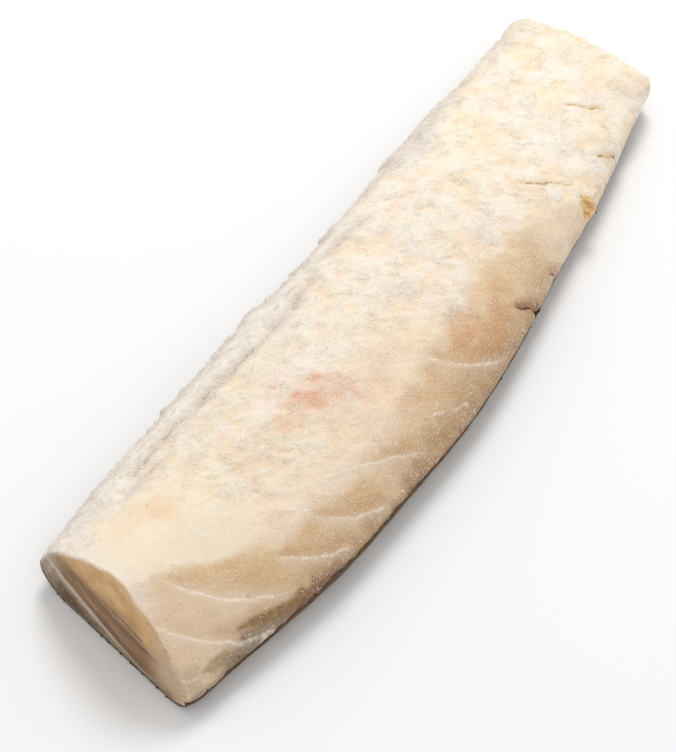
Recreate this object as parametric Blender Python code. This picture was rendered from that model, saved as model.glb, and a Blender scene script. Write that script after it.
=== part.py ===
"""Salted dried cod: a thick loin of split fish, cut across both ends, lying on its own skin.

The piece lies along X with the thick end towards -X and the thinner end towards +X.
Y runs to the belly side ("left"), -Y to the flaky back side ("right"), and Z is up.
Every size below is in millimetres; the points are made metres when a mesh is built.
"""

import bmesh
import bpy
import numpy as np
from mathutils import Vector, noise

MM = 0.001

# Sizes that change along the piece, as (place along X, size there).
RIGHT_EDGE_Y = ((-150, -17.5), (-141, -23.4), (-125, -27.6), (-105, -32.7), (-80, -38.1), (-50, -40.8),
                (-10, -42.8), (20, -40.8), (60, -35.6), (90, -32.7), (120, -27.6), (150, -20.8))
LEFT_EDGE_Y = ((-150, 43.6), (-132, 43.8), (-100, 43.2), (-60, 41.7), (-30, 40.8), (0, 38.0),
               (40, 36.4), (80, 37.0), (110, 34.9), (150, 33.2))
RIGHT_EDGE_Z = ((-150, 5.0), (-120, 7.5), (-60, 8.5), (20, 8.5), (100, 7.5), (150, 7.0))
LEFT_EDGE_Z = ((-150, 8.5), (-120, 9.5), (-60, 10.5), (20, 10.5), (100, 9.5), (150, 8.5))
CROWN_Y = ((-150, 7.5), (-100, 5.0), (-50, 3.0), (0, 2.0), (100, 2.0), (150, 3.0))
CROWN_Z = ((-150, 36.0), (-100, 35.6), (-50, 34.4), (0, 32.0), (50, 28.5), (100, 23.5), (150, 18.0))
RIGHT_FULLNESS = ((-150, 1.35), (-110, 1.55), (-50, 1.75), (0, 1.9), (80, 2.3), (150, 2.9))
LEFT_FULLNESS = ((-150, 1.5), (-60, 1.65), (20, 1.85), (90, 2.2), (150, 2.8))
FLAT_RIGHT_Y = ((-150, -13.0), (-120, -20.0), (-60, -28.0), (20, -28.0), (100, -20.0), (150, -13.0))
FLAT_LEFT_Y = ((-150, 30.5), (-60, 29.0), (20, 26.5), (100, 25.5), (150, 24.0))
EDGE_FULLNESS = 2.0

# The two cuts are planes: x = place + across * y + up * z.
NEAR_CUT = {"place": -143.6, "across": 0.2546, "up": 0.0875}
FAR_CUT = {"place": 148.2, "across": 0.081, "up": 0.0}
SKEW_REACH = 0.35

# The skin is a layer under the whole piece, a hair away from the flesh it carries.
SKIN_THICKNESS = 1.2
SKIN_LIP = 0.5
GAP = 0.3
SOFT_EDGE = 1.1

# Unevenness of the dried flesh.
FURROW_Y = 27.0
FURROW_WIDTH = 2.4
FURROW_DEPTH = 0.8
FLAKE_PITCH = 19.5
FLAKE_LEAN = 1.25
FLAKE_STEP = 0.55
LUMP_HEIGHT = 1.3
LUMP_SIZE = 13.0

# Mesh density: points round a section, and rings along the piece.
RIGHT_TOP = 13
LEFT_TOP = 12
LEFT_UNDER = 5
FLAT_UNDER = 3
RIGHT_UNDER = 4
RINGS = 78

FLESH_COLOUR = (0.77, 0.63, 0.44, 1.0)
SKIN_COLOUR = (0.16, 0.12, 0.085, 1.0)


def clear_scene():
    for obj in list(bpy.data.objects):
        bpy.data.objects.remove(obj, do_unlink=True)


def curve(pairs, x):
    """The size at x on a smooth curve through (place, size) pairs."""
    place, size = np.array(pairs, float).T
    slope = np.gradient(size, place)
    x = np.clip(x, place[0], place[-1])
    i = np.clip(np.searchsorted(place, x) - 1, 0, len(place) - 2)
    step = place[i + 1] - place[i]
    t = (x - place[i]) / step
    from_start = (2 * t**3 - 3 * t**2 + 1) * size[i] + (t**3 - 2 * t**2 + t) * step * slope[i]
    from_end = (3 * t**2 - 2 * t**3) * size[i + 1] + (t**3 - t**2) * step * slope[i + 1]
    return from_start + from_end


def bump(value, centre, width):
    return np.exp(-(((value - centre) / width) ** 2))


def ramp(value, start, end):
    """Rises smoothly from 0 at start to 1 at end."""
    t = np.clip((value - start) / (end - start), 0.0, 1.0)
    return t * t * (3 - 2 * t)


def quarter(edge, peak, fullness, count):
    """Evenly spaced points of a rounded corner, upright at edge and level at peak."""
    turn = np.linspace(0, np.pi / 2, 200)
    y = peak[0] + (edge[0] - peak[0]) * np.cos(turn).clip(0) ** (2 / fullness)
    z = edge[1] + (peak[1] - edge[1]) * np.sin(turn) ** (2 / fullness)
    along = np.concatenate([[0], np.cumsum(np.hypot(np.diff(y), np.diff(z)))])
    even = np.linspace(0, along[-1], count + 1)
    return np.stack([np.interp(even, along, y), np.interp(even, along, z)], axis=1)


def section(x):
    """One closed cross-section as (y, z) points, from the right edge over the top and back underneath."""
    right = (curve(RIGHT_EDGE_Y, x), curve(RIGHT_EDGE_Z, x))
    left = (curve(LEFT_EDGE_Y, x), curve(LEFT_EDGE_Z, x))
    crown = (curve(CROWN_Y, x), curve(CROWN_Z, x))
    flat_right = (curve(FLAT_RIGHT_Y, x), 0.0)
    flat_left = (curve(FLAT_LEFT_Y, x), 0.0)
    over_right = quarter(right, crown, curve(RIGHT_FULLNESS, x), RIGHT_TOP)
    over_left = quarter(left, crown, curve(LEFT_FULLNESS, x), LEFT_TOP)[::-1]
    under_left = quarter(left, flat_left, EDGE_FULLNESS, LEFT_UNDER)
    under_flat = np.linspace(flat_left, flat_right, FLAT_UNDER + 1)
    under_right = quarter(right, flat_right, EDGE_FULLNESS, RIGHT_UNDER)[::-1]
    return np.concatenate([chain[:-1] for chain in (over_right, over_left, under_left, under_flat, under_right)])


def outward(loop):
    """The outward direction at each point of a closed loop that runs over the top towards +Y."""
    along = np.roll(loop, -1, axis=0) - np.roll(loop, 1, axis=0)
    along /= np.linalg.norm(along, axis=1)[:, None]
    return np.stack([-along[:, 1], along[:, 0]], axis=1)


def unevenness(x, y):
    """How far the flesh stands out of its smooth form at (x, y), seen from above."""
    furrow = -FURROW_DEPTH * bump(y, FURROW_Y, FURROW_WIDTH) * ramp(x, -125, -100) * ramp(x, 5, -20)
    flank = ramp(y, -14, -22) * ramp(y, -41, -34) * ramp(x, 70, 30)
    place = (x + FLAKE_LEAN * (y + 20)) / FLAKE_PITCH
    flakes = FLAKE_STEP * (place - np.floor(place) - 0.5) * flank
    lumps = np.array([noise.noise(Vector((x, across, 0.0)) / LUMP_SIZE) for across in y])
    lumps += 0.5 * np.array([noise.noise(Vector((x, across, 50.0)) / (LUMP_SIZE / 2)) for across in y])
    inside = ramp(y, -36, -20) * ramp(y, 40, 28)
    return furrow + flakes + LUMP_HEIGHT * lumps * inside * (0.35 + 0.65 * ramp(x, -60, 10))


def seat(x, loop):
    """Points (x, y, z) of a section, leaned towards the two cuts near the ends."""
    t = (x - NEAR_CUT["place"]) / (FAR_CUT["place"] - NEAR_CUT["place"])
    near = ramp(t, SKEW_REACH, 0.0)
    far = ramp(t, 1.0 - SKEW_REACH, 1.0)
    y, z = loop.T
    lean = near * (NEAR_CUT["across"] * y + NEAR_CUT["up"] * z)
    lean += far * (FAR_CUT["across"] * y + FAR_CUT["up"] * z)
    return np.stack([x + lean, y, z], axis=1)


def ring_places():
    """Where the rings sit along X, closer together at the soft edge of each cut."""
    start = NEAR_CUT["place"]
    end = FAR_CUT["place"]
    inner = np.linspace(start + SOFT_EDGE, end - SOFT_EDGE, RINGS - 4)
    soft = 0.3 * SOFT_EDGE
    return np.concatenate([[start, start + soft], inner, [end - soft, end]])


def end_inset(x):
    """How far a section is drawn in, for the soft edge of a cut."""
    to_cut = min(x - NEAR_CUT["place"], FAR_CUT["place"] - x)
    t = np.clip(to_cut / SOFT_EDGE, 0.0, 1.0)
    return SOFT_EDGE * (1.0 - np.sqrt(1.0 - (1.0 - t) ** 2)) if t < 1 else 0.0


TOP_COUNT = RIGHT_TOP + LEFT_TOP
LOOP_COUNT = TOP_COUNT + LEFT_UNDER + FLAT_UNDER + RIGHT_UNDER


def flesh_ring(x):
    loop = section(x)
    normal = outward(loop)
    index = np.arange(LOOP_COUNT)
    above = np.minimum(index, TOP_COUNT - index)
    bed = (SKIN_THICKNESS + GAP) * ramp(above, 2.4, 0.0)
    bed[above <= 0] = SKIN_THICKNESS + GAP
    inset = end_inset(x) * ramp(above, -1.0, 2.0)
    rough = unevenness(x, loop[:, 0]) * ramp(above, 0.0, 3.0)
    return seat(x, loop + normal * (rough - bed - inset)[:, None])


def skin_ring(x):
    loop = section(x)
    normal = outward(loop)
    under = np.arange(TOP_COUNT, LOOP_COUNT + 1) % LOOP_COUNT
    thickness = np.full(len(under), SKIN_THICKNESS)
    thickness[[0, -1]] = SKIN_LIP
    outer = loop[under]
    inner = outer - normal[under] * thickness[:, None]
    return seat(x, np.concatenate([outer, inner[::-1]]))


def loft(name, rings, colour, roughness, collection):
    """A closed solid through the rings, with a flat face over each end."""
    body = bmesh.new()
    rows = [[body.verts.new(point * MM) for point in ring] for ring in rings]
    for first, second in zip(rows, rows[1:]):
        for i in range(len(first)):
            j = (i + 1) % len(first)
            body.faces.new((first[i], first[j], second[j], second[i]))
    body.faces.new(rows[0][::-1])
    body.faces.new(rows[-1])
    bmesh.ops.recalc_face_normals(body, faces=body.faces)
    bmesh.ops.triangulate(body, faces=[face for face in body.faces if len(face.verts) > 4])
    mesh = bpy.data.meshes.new(name)
    body.to_mesh(mesh)
    body.free()
    mesh.shade_smooth()
    mesh.set_sharp_from_angle(angle=np.radians(40))
    material = bpy.data.materials.new(name + "_material")
    material.use_nodes = True
    shader = material.node_tree.nodes["Principled BSDF"]
    shader.inputs["Base Color"].default_value = colour
    shader.inputs["Roughness"].default_value = roughness
    shader.inputs["Metallic"].default_value = 0.0
    mesh.materials.append(material)
    obj = bpy.data.objects.new(name, mesh)
    collection.objects.link(obj)
    return obj


def centred(groups):
    """The same rings, moved so that the middle of the whole box stands over the origin."""
    points = np.concatenate([ring for rings in groups for ring in rings])
    middle = (points.min(axis=0) + points.max(axis=0)) / 2
    shift = np.array([middle[0], middle[1], points[:, 2].min()])
    return [[ring - shift for ring in rings] for rings in groups]


def main():
    clear_scene()
    collection = bpy.data.collections.new("salted_dried_cod")
    bpy.context.scene.collection.children.link(collection)
    places = ring_places()
    flesh, skin = centred([[flesh_ring(x) for x in places], [skin_ring(x) for x in places]])
    loft("flesh", flesh, FLESH_COLOUR, 0.62, collection)
    loft("skin", skin, SKIN_COLOUR, 0.55, collection)


main()
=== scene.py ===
from math import cos, pi, radians, sin

import bpy
import numpy as np
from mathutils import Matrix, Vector, noise


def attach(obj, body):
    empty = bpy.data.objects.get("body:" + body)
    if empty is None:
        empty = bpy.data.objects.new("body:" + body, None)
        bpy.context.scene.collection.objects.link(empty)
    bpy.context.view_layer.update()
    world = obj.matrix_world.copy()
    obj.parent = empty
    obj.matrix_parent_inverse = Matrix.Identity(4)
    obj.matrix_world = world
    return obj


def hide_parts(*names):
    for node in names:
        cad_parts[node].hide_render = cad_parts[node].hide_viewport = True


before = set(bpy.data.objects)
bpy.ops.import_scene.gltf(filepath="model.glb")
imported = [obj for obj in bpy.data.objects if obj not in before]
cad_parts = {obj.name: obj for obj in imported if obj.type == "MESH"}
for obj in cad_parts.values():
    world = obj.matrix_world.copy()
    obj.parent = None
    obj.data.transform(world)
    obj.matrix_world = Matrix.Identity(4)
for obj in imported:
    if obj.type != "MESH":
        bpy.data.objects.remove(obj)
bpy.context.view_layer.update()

MM = 0.001

# ---------------------------------------------------------------- form, in mm
RIGHT_EDGE_Y = ((-150, -17.5), (-141, -23.4), (-125, -27.6), (-105, -32.7), (-80, -38.1), (-50, -40.8),
                (-10, -42.8), (20, -40.8), (60, -35.6), (90, -32.7), (120, -27.6), (150, -20.8))
LEFT_EDGE_Y = ((-150, 43.6), (-132, 43.8), (-100, 43.2), (-60, 41.7), (-30, 40.8), (0, 38.0),
               (40, 36.4), (80, 37.0), (110, 34.9), (150, 33.2))
RIGHT_EDGE_Z = ((-150, 5.0), (-120, 7.5), (-60, 8.5), (20, 8.5), (100, 7.5), (150, 7.0))
LEFT_EDGE_Z = ((-150, 8.5), (-120, 9.5), (-60, 10.5), (20, 10.5), (100, 9.5), (150, 8.5))
CROWN_Y = ((-150, 7.5), (-100, 5.0), (-50, 3.0), (0, 2.0), (100, 2.0), (150, 3.0))
CROWN_Z = ((-150, 36.0), (-100, 35.6), (-50, 34.4), (0, 32.0), (50, 28.5), (100, 23.5), (150, 18.0))
RIGHT_FULLNESS = ((-150, 1.35), (-110, 1.55), (-50, 1.75), (0, 1.9), (80, 2.3), (150, 2.9))
LEFT_FULLNESS = ((-150, 1.5), (-60, 1.65), (20, 1.85), (90, 2.2), (150, 2.8))
FLAT_RIGHT_Y = ((-150, -13.0), (-120, -20.0), (-60, -28.0), (20, -28.0), (100, -20.0), (150, -13.0))
FLAT_LEFT_Y = ((-150, 30.5), (-60, 29.0), (20, 26.5), (100, 25.5), (150, 24.0))
EDGE_FULLNESS = 2.0
NEAR_CUT = {"place": -143.6, "across": 0.2546, "up": 0.0875}
FAR_CUT = {"place": 148.2, "across": 0.081, "up": 0.0}
SKEW_REACH = 0.35
CENTRE = np.array([1.0923, 0.4896, 0.0])
SKIN_THICKNESS = 1.2
GAP = 0.3
SOFT_EDGE = 1.1
FURROW_Y, FURROW_WIDTH, FURROW_DEPTH = 27.0, 2.4, 0.8
FLAKE_PITCH, FLAKE_LEAN, FLAKE_STEP = 19.5, 1.25, 0.55
LUMP_HEIGHT, LUMP_SIZE = 1.3, 13.0

# How far the skin's ragged rim stands above the widest line of each side.
RIM_RIGHT = ((-150, -0.2), (-112, 0.3), (-95, 0.9), (-45, 0.9), (-15, 0.1), (35, -0.3), (60, -1.6), (150, -2.2))
RIM_LEFT = ((-150, 0.3), (-60, -0.3), (30, -1.0), (150, -2.0))

# ---------------------------------------------------------------- places on the fish, in mm
# Edge of the glassy back slope: y below which the flesh turns tan.
SLOPE_EDGE = ((-150, 7.0), (-141, 3.0), (-134, -0.2), (-122, -5.8), (-114, -11.3), (-105, -18.2), (-86, -23.8),
              (-64, -27.0), (-42, -27.5), (-22, -25.5), (-6, -25.5), (12, -22.5), (50, -22.0), (66, -24.5),
              (80, -31.0), (95, -36.0))
# Edges of the flakes on the back slope: start, middle, end and half-width of the pale sheet there.
FLAKES = (
    ((-143.5, -6.8), (-131.5, -23.6), (-109.0, -33.4), 0.34),
    ((-130.6, -4.0), (-121.5, -19.3), (-104.0, -31.0), 0.40),
    ((-101.6, -23.4), (-91.5, -32.3), (-78.0, -37.8), 0.30),
    ((-84.0, -24.5), (-73.5, -34.2), (-58.0, -39.0), 0.28),
    ((-75.0, -20.2), (-56.5, -29.8), (-37.4, -40.4), 0.26),
    ((-11.8, -27.6), (-4.5, -35.6), (18.0, -40.6), 0.32),
)
# Shorter pale sheets and fibres.
SHEETS = (
    ((-89.5, -6.5), (-84.3, -14.6), (-73.5, -20.6), 0.55),
    ((-30.5, -34.2), (-22.1, -38.4), (-11.0, -41.6), 0.30),
    ((-34.2, -17.4), (-36.4, -21.4), (-37.6, -24.6), 0.24),
    ((-38.4, -24.4), (-42.8, -26.6), (-47.5, -27.3), 0.24),
    ((-108.6, 5.2), (-111.8, -1.2), (-109.9, -8.0), 0.60),
    ((-92.0, -13.0), (-89.0, -17.6), (-84.6, -21.9), 0.20),
    ((-124.9, -1.4), (-122.6, -4.5), (-118.4, -4.7), 0.40),
    ((-37.7, 7.6), (-27.5, -2.0), (-8.0, -11.0), 0.40),
    ((-42.5, -25.1), (-45.6, -27.6), (-47.6, -29.4), 0.20),
    ((-84.6, -19.6), (-83.4, -22.1), (-83.3, -24.8), 0.32),
    ((-70.6, -35.4), (-69.2, -36.9), (-67.0, -37.7), 0.35),
    ((-61.0, 10.4), (-60.2, 6.4), (-62.8, 2.0), 0.16),
    ((-147.6, -15.4), (-146.9, -20.4), (-142.6, -23.4), 0.14),
)
# Cracks that open along the flakes: start, middle, end and half-width.
CRACKS = (
    ((68.5, -11.4), (75.4, -19.6), (84.0, -26.6), 0.16),
    ((110.8, -5.6), (115.9, -13.0), (122.0, -18.2), 0.14),
    ((99.2, -25.8), (104.0, -27.9), (108.5, -29.8), 0.30),
)
DARK_CRACKS = (
    ((25.6, -34.8), (31.6, -38.0), (37.8, -39.6), 0.50),
    ((47.5, -36.2), (50.5, -36.8), (54.0, -36.6), 0.14),
)
# Dark broken line of painted shade in the furrow on the other side.
FURROWS = (
    ((-98.0, 28.8), (-84.0, 28.9), (-68.0, 27.0), 0.55),
    ((-66.0, 27.0), (-52.0, 25.6), (-36.0, 22.9), 0.80),
    ((-35.0, 22.3), (-22.0, 22.6), (-7.0, 24.4), 0.55),
    ((6.0, 27.2), (17.0, 25.8), (28.0, 23.6), 0.35),
    ((-110.0, 24.0), (-101.0, 24.6), (-92.0, 23.0), 0.35),
)
# Two olive strips where the flesh turns glassy near the skin: along x, height of the middle line above the widest
# line and half-width.
STRIP_MIDDLE = ((-128, 10.2), (-122, 9.4), (-117, 7.6), (-112, 6.3), (-107, 4.9), (-98, 3.6))
STRIP_HALF = ((-129, -1.2), (-126, 0.2), (-121, 1.4), (-116, 1.9), (-109, 1.7), (-104, 1.1), (-98, -1.2))
PALE_STRIP_MIDDLE = ((-144, 7.6), (-139, 6.6), (-134, 5.8), (-129, 6.6))
PALE_STRIP_HALF = ((-144, -1.2), (-141, 0.8), (-136, 2.5), (-132, 1.6), (-129, -1.0))
# Where the outline of the other side steps out.
LEFT_STEPS = (-68.0, -26.0, 20.0, 59.0)
# Threads on the near cut, as places across it and above the base.
FACE_THREADS = (
    ((22.0, 20.0), (13.0, 17.0), (3.0, 16.2), 0.22),
    ((10.0, 18.0), (0.0, 15.4), (-11.0, 13.2), 0.22),
    ((-2.0, 17.6), (-7.0, 14.4), (-12.5, 12.4), 0.2),
    ((16.0, 11.6), (8.0, 8.6), (0.0, 7.2), 0.16),
    ((27.0, 17.0), (22.0, 13.6), (15.0, 11.0), 0.16),
)
FURROW_LINE = ((-120, 29.0), (-76, 28.6), (-60, 26.3), (-45, 25.2), (-32, 23.2), (-10, 23.6), (10, 27.0))


def srgb(red, green, blue):
    """Linear colour of 0-255 screen values."""
    values = np.array([red, green, blue]) / 255.0
    linear = np.where(values <= 0.04045, values / 12.92, ((values + 0.055) / 1.055) ** 2.4)
    return (*[float(v) for v in linear], 1.0)


def curve(pairs, x):
    place, size = np.array(pairs, float).T
    slope = np.gradient(size, place)
    x = np.clip(x, place[0], place[-1])
    i = np.clip(np.searchsorted(place, x) - 1, 0, len(place) - 2)
    step = place[i + 1] - place[i]
    t = (x - place[i]) / step
    from_start = (2 * t**3 - 3 * t**2 + 1) * size[i] + (t**3 - 2 * t**2 + t) * step * slope[i]
    from_end = (3 * t**2 - 2 * t**3) * size[i + 1] + (t**3 - t**2) * step * slope[i + 1]
    return from_start + from_end


def bump(value, centre, width):
    return np.exp(-(((value - centre) / width) ** 2))


def ramp(value, start, end):
    t = np.clip((value - start) / (end - start), 0.0, 1.0)
    return t * t * (3 - 2 * t)


def field(x, y, size, seed):
    """Smooth random field over a plane, about -1 to 1, with bumps of that size."""
    rng = np.random.default_rng(seed)
    grid = rng.uniform(-1, 1, (97, 97))
    turn = rng.uniform(0, pi)
    u = (x * cos(turn) - y * sin(turn)) / size + 500.0
    v = (x * sin(turn) + y * cos(turn)) / size + 500.0
    i, j = np.floor(u).astype(int), np.floor(v).astype(int)
    s, t = u - i, v - j
    s, t = s**3 * (s * (6 * s - 15) + 10), t**3 * (t * (6 * t - 15) + 10)
    a, b = grid[i % 97, j % 97], grid[(i + 1) % 97, j % 97]
    c, d = grid[i % 97, (j + 1) % 97], grid[(i + 1) % 97, (j + 1) % 97]
    return 1.3 * ((a * (1 - s) + b * s) * (1 - t) + (c * (1 - s) + d * s) * t)


def rough_field(x, y, size, seed, octaves=3):
    return sum(0.55**k * field(x, y, size / 2.0**k, seed + k) for k in range(octaves))


GRAIN_TURN = radians(58.3)


def along_grain(x, y, stretch):
    """The plane turned so that the flesh fibres run along the first axis, which is squeezed."""
    return ((x * sin(GRAIN_TURN) - y * cos(GRAIN_TURN)) / stretch, x * cos(GRAIN_TURN) + y * sin(GRAIN_TURN))


def fibre_field(x, y, size, seed, stretch=3.0, octaves=2):
    u, v = along_grain(x, y, stretch)
    return rough_field(u, v, size, seed, octaves)


def patch(x, y, centre_x, centre_y, long, wide, turn=0.0):
    """Soft oval, 1 in its middle."""
    c, s = cos(radians(turn)), sin(radians(turn))
    u = ((x - centre_x) * c + (y - centre_y) * s) / long
    v = ((y - centre_y) * c - (x - centre_x) * s) / wide
    return ramp(np.hypot(u, v), 1.3, 0.2)


# ---------------------------------------------------------------- cross-sections
def quarter(edge, peak, fullness, count):
    turn = np.linspace(0, np.pi / 2, 200)
    y = peak[0] + (edge[0] - peak[0]) * np.cos(turn).clip(0) ** (2 / fullness)
    z = edge[1] + (peak[1] - edge[1]) * np.sin(turn) ** (2 / fullness)
    along = np.concatenate([[0], np.cumsum(np.hypot(np.diff(y), np.diff(z)))])
    even = np.linspace(0, along[-1], count + 1)
    return np.stack([np.interp(even, along, y), np.interp(even, along, z)], axis=1)


def section(x, counts):
    """A closed section as (y, z), over the top from the right edge, and each point's height above the widest line."""
    right = (curve(RIGHT_EDGE_Y, x), curve(RIGHT_EDGE_Z, x))
    left = (curve(LEFT_EDGE_Y, x), curve(LEFT_EDGE_Z, x))
    crown = (curve(CROWN_Y, x), curve(CROWN_Z, x))
    flat_right = (curve(FLAT_RIGHT_Y, x), 0.0)
    flat_left = (curve(FLAT_LEFT_Y, x), 0.0)
    chains = (
        quarter(right, crown, curve(RIGHT_FULLNESS, x), counts[0]),
        quarter(left, crown, curve(LEFT_FULLNESS, x), counts[1])[::-1],
        quarter(left, flat_left, EDGE_FULLNESS, counts[2]),
        np.linspace(flat_left, flat_right, counts[3] + 1),
        quarter(right, flat_right, EDGE_FULLNESS, counts[4])[::-1],
    )
    loop = np.concatenate([chain[:-1] for chain in chains])
    steps = np.linalg.norm(np.roll(loop, -1, axis=0) - loop, axis=1)
    along = np.concatenate([[0], np.cumsum(steps)])
    top = counts[0] + counts[1]
    above = np.minimum(along[:-1], along[top] - along[:-1])
    below = np.maximum(along[top] - along[:-1], along[:-1] - along[-1])
    above[top + 1:] = below[top + 1:]
    return loop, above


def outward(loop):
    along = np.roll(loop, -1, axis=0) - np.roll(loop, 1, axis=0)
    along /= np.linalg.norm(along, axis=1)[:, None]
    return np.stack([-along[:, 1], along[:, 0]], axis=1)


def end_inset(x):
    to_cut = min(x - NEAR_CUT["place"], FAR_CUT["place"] - x)
    t = np.clip(to_cut / SOFT_EDGE, 0.0, 1.0)
    return SOFT_EDGE * (1.0 - np.sqrt(1.0 - (1.0 - t) ** 2)) if t < 1 else 0.0


def seat(x, y, z):
    """The centred point of a section point, leaned towards the cuts near the ends."""
    t = (x - NEAR_CUT["place"]) / (FAR_CUT["place"] - NEAR_CUT["place"])
    near, far = ramp(t, SKEW_REACH, 0.0), ramp(t, 1.0 - SKEW_REACH, 1.0)
    lean = near * (NEAR_CUT["across"] * y + NEAR_CUT["up"] * z)
    lean = lean + far * (FAR_CUT["across"] * y + FAR_CUT["up"] * z)
    return np.stack([x + lean, y, z], axis=-1) - CENTRE


def ring_places(count):
    start, end = NEAR_CUT["place"], FAR_CUT["place"]
    soft = SOFT_EDGE * np.array([0.0, 0.08, 0.25, 0.5, 0.8])
    inner = np.linspace(start + SOFT_EDGE, end - SOFT_EDGE, count)
    return np.concatenate([start + soft, inner, end - soft[::-1]])


def sections(places, counts):
    """Arrays over rings and points: nominal x, (y, z), outward direction and height above the widest line."""
    loops, normals, aboves = [], [], []
    for x in places:
        loop, above = section(x, counts)
        loops.append(loop)
        normals.append(outward(loop))
        aboves.append(above)
    x = np.repeat(places[:, None], len(loops[0]), axis=1)
    return x, np.array(loops), np.array(normals), np.array(aboves)


# ---------------------------------------------------------------- relief and masks
def base_lumps(x, y):
    """The unevenness that the solid has too."""
    furrow = -FURROW_DEPTH * bump(y, FURROW_Y, FURROW_WIDTH) * ramp(x, -125, -100) * ramp(x, 5, -20)
    flank = ramp(y, -14, -22) * ramp(y, -41, -34) * ramp(x, 70, 30)
    place = (x + FLAKE_LEAN * (y + 20)) / FLAKE_PITCH
    flakes = FLAKE_STEP * (place - np.floor(place) - 0.5) * flank
    flat = zip(x.ravel(), y.ravel())
    lumps = np.array([noise.noise(Vector((a, b, 0.0)) / LUMP_SIZE)
                      + 0.5 * noise.noise(Vector((a, b, 50.0)) / (LUMP_SIZE / 2)) for a, b in flat])
    inside = ramp(y, -36, -20) * ramp(y, 40, 28)
    return furrow + 0.5 * flakes + LUMP_HEIGHT * lumps.reshape(x.shape) * inside * (0.35 + 0.65 * ramp(x, -60, 10))


def circle_of(start, middle, end):
    """Centre and radius of the circle through three points."""
    (ax, ay), (bx, by), (cx, cy) = start, middle, end
    d = 2 * (ax * (by - cy) + bx * (cy - ay) + cx * (ay - by))
    a2, b2, c2 = ax**2 + ay**2, bx**2 + by**2, cx**2 + cy**2
    x = (a2 * (by - cy) + b2 * (cy - ay) + c2 * (ay - by)) / d
    y = (a2 * (cx - bx) + b2 * (ax - cx) + c2 * (bx - ax)) / d
    return (x, y), float(np.hypot(ax - x, ay - y))


def from_arc(x, y, start, middle, end):
    """Distance from an arc, above zero on its far side, and how much the place lies beside the arc, 0 to 1."""
    (cx, cy), radius = circle_of(start, middle, end)
    signed = np.hypot(x - cx, y - cy) - radius
    if np.hypot(middle[0] + 1 - cx, middle[1] - cy) < radius:
        signed = -signed
    reach = 0.5 * np.hypot(end[0] - start[0], end[1] - start[1])
    beside = ramp(np.hypot(x - middle[0], y - middle[1]) / reach, 1.15, 0.7)
    return signed, beside


def make_mesh(name, points, faces, smooth=True):
    corners = points[np.array([face[:3] for face in faces])]
    facing = np.einsum("ij,ij->i", corners[:, 0], np.cross(corners[:, 1], corners[:, 2])).sum()
    if facing < 0:
        faces = [face[::-1] for face in faces]
    mesh = bpy.data.meshes.new(name)
    mesh.from_pydata((points * MM).tolist(), [], faces)
    mesh.validate()
    if smooth:
        mesh.shade_smooth()
    obj = bpy.data.objects.new(name, mesh)
    bpy.context.scene.collection.objects.link(obj)
    return obj


def tube_faces(rings, around, start=0):
    """Quads between closed rings of points stored one after the other."""
    i = np.arange(rings - 1)[:, None] * around + start
    j = np.arange(around)[None, :]
    k = (j + 1) % around
    quads = np.stack([i + j, i + k, i + around + k, i + around + j], axis=-1)
    return quads.reshape(-1, 4)


def put(obj, name, values):
    attribute = obj.data.attributes.new(name, "FLOAT", "POINT")
    attribute.data.foreach_set("value", np.ascontiguousarray(values, np.float32).ravel())


# ---------------------------------------------------------------- flesh
COUNTS = (84, 74, 10, 5, 7)
RINGS = 455
CAP_RINGS = 26


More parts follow.
